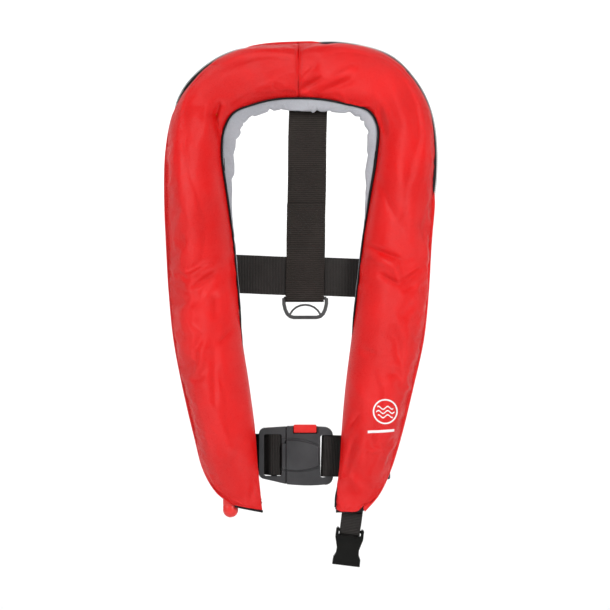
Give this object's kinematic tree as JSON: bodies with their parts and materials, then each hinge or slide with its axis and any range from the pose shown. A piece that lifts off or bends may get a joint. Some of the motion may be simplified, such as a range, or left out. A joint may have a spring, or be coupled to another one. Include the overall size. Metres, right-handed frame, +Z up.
{
  "type": "inflatable life jacket",
  "caption": "Horseshoe-shaped inflatable life jacket folded in its zipped cover, with a webbing harness, front buckle, pull handle and crotch-strap socket, hanging from its collar.",
  "frame": {"origin": "lowest point of the collar's lining at its centre, where it bears on the neck or on a hanger's peg", "axes": "+Z up along the hanging jacket, the wearer's front faces -Y, +X to the viewer's right"},
  "size_m": [0.3316, 0.074, 0.6395],
  "materials": {
    "red_cloth": "woven polyester, semi-matt",
    "grey_cloth": "soft woven polyester, matt",
    "charcoal_cloth": "woven polyester, matt",
    "black_tape": "woven tape, matt",
    "zip_teeth": "moulded coil teeth",
    "zip_metal": "satin",
    "yellow_bladder": "coated nylon, satin",
    "silver_tape": "retro-reflective",
    "black_plastic": "moulded, fine grain",
    "steel": "zinc-plated, satin",
    "white_plastic": "moulded, semi-gloss",
    "green_plastic": "moulded, semi-gloss",
    "red_plastic": "moulded, semi-gloss",
    "black_rubber": "smooth, matt",
    "black_cord": "braided",
    "black_webbing": "ribbed polyester webbing"
  },
  "bodies": {
    "jacket": {"cover_front_left": "red_cloth", "cover_front_right": "red_cloth", "neck_lining": "grey_cloth", "back_panel": "charcoal_cloth", "neck_piping": "black_tape", "zip_tape": "black_tape", "zip_chain": "zip_teeth", "zip_slider": "zip_metal", "bladder": "yellow_bladder", "reflective_tape_left": "silver_tape", "reflective_tape_right": "silver_tape", "inflator_body": "black_plastic", "cartridge_cap": "black_plastic", "oral_valve_body": "black_plastic", "receiver_front_shell": "black_plastic", "receiver_back_shell": "black_plastic", "co2_cylinder": "steel", "oral_valve_spring": "steel", "button_spring": "steel", "auto_cartridge": "white_plastic", "whistle": "white_plastic", "status_clip": "green_plastic", "oral_tube": "black_rubber", "whistle_cord": "black_cord", "back_strap": "black_webbing", "belt_back": "black_webbing", "belt_rise_left": "black_webbing", "belt_rise_right": "black_webbing", "belt_keeper_left": "black_webbing", "belt_keeper_right": "black_webbing", "belt_front_right": "black_webbing", "crotch_tab": "black_webbing"},
    "buckle_tongue": {"buckle_tongue_half": "black_plastic", "belt_front_left": "black_webbing"},
    "release_button": {"release_button": "red_plastic", "lock_plate": "black_plastic"},
    "pull_handle": {"pull_handle": "red_plastic", "pull_lanyard": "black_cord"},
    "firing_lever": {"firing_lever": "red_plastic"},
    "piercing_pin": {"piercing_pin": "steel"},
    "oral_valve": {"oral_valve_poppet": "red_plastic"},
    "crotch_ring": {"crotch_ring": "black_plastic"},
    "crotch_strap": {"crotch_stub": "black_webbing"},
    "crotch_socket": {"crotch_socket": "black_plastic"},
    "zip_pull": {"zip_pull": "zip_metal"}
  },
  "joints": [
    {"name": "buckle_slide", "type": "slide", "parent": "jacket", "child": "buckle_tongue", "axis": [-1, 0, 0], "range_m": [0, 0.028]},
    {"name": "button_press", "type": "slide", "parent": "jacket", "child": "release_button", "axis": [0, 0, -1], "range_m": [0, 0.0034], "stiffness_N_per_m": 500, "springref_m": -0.002, "deforming": ["button_spring"]},
    {"name": "handle_pull", "type": "slide", "parent": "jacket", "child": "pull_handle", "axis": [0, 0, -1], "range_m": [0, 0.0229]},
    {"name": "lever_swing", "type": "hinge", "parent": "jacket", "child": "firing_lever", "pos_m": [-0.09857, -0.02705, -0.39295], "axis": [0, 1, 0], "range_deg": [0, 70]},
    {"name": "pin_strike", "type": "slide", "parent": "jacket", "child": "piercing_pin", "axis": [-0.165, 0, 0.9863], "range_m": [0, 0.0048]},
    {"name": "valve_press", "type": "slide", "parent": "jacket", "child": "oral_valve", "axis": [-0.165, 0, -0.9863], "range_m": [0, 0.003], "stiffness_N_per_m": 300, "springref_m": -0.002, "deforming": ["oral_valve_spring"]},
    {"name": "ring_swing", "type": "hinge", "parent": "jacket", "child": "crotch_ring", "pos_m": [0.008, -0.00135, -0.23196], "axis": [1, 0, 0], "range_deg": [-60, 60]},
    {"name": "strap_swing", "type": "hinge", "parent": "jacket", "child": "crotch_strap", "pos_m": [0.066, -0.02195, -0.48466], "axis": [0.9925, 0, -0.1219], "range_deg": [-24, 50]},
    {"name": "socket_swing", "type": "hinge", "parent": "crotch_strap", "child": "crotch_socket", "pos_m": [0.0624, -0.02185, -0.51394], "axis": [0.9925, 0, -0.1219], "range_deg": [-40, 40]},
    {"name": "zip_pull_swing", "type": "hinge", "parent": "jacket", "child": "zip_pull", "pos_m": [0.1085, -0.0154, -0.4264], "axis": [1, 0, 0], "range_deg": [0, 35]}
  ],
  "couplings": [
    {"joint": "lever_swing", "follows": "handle_pull", "rad_per_m": 53.26},
    {"joint": "pin_strike", "follows": "handle_pull", "ratio": 0.2}
  ]
}
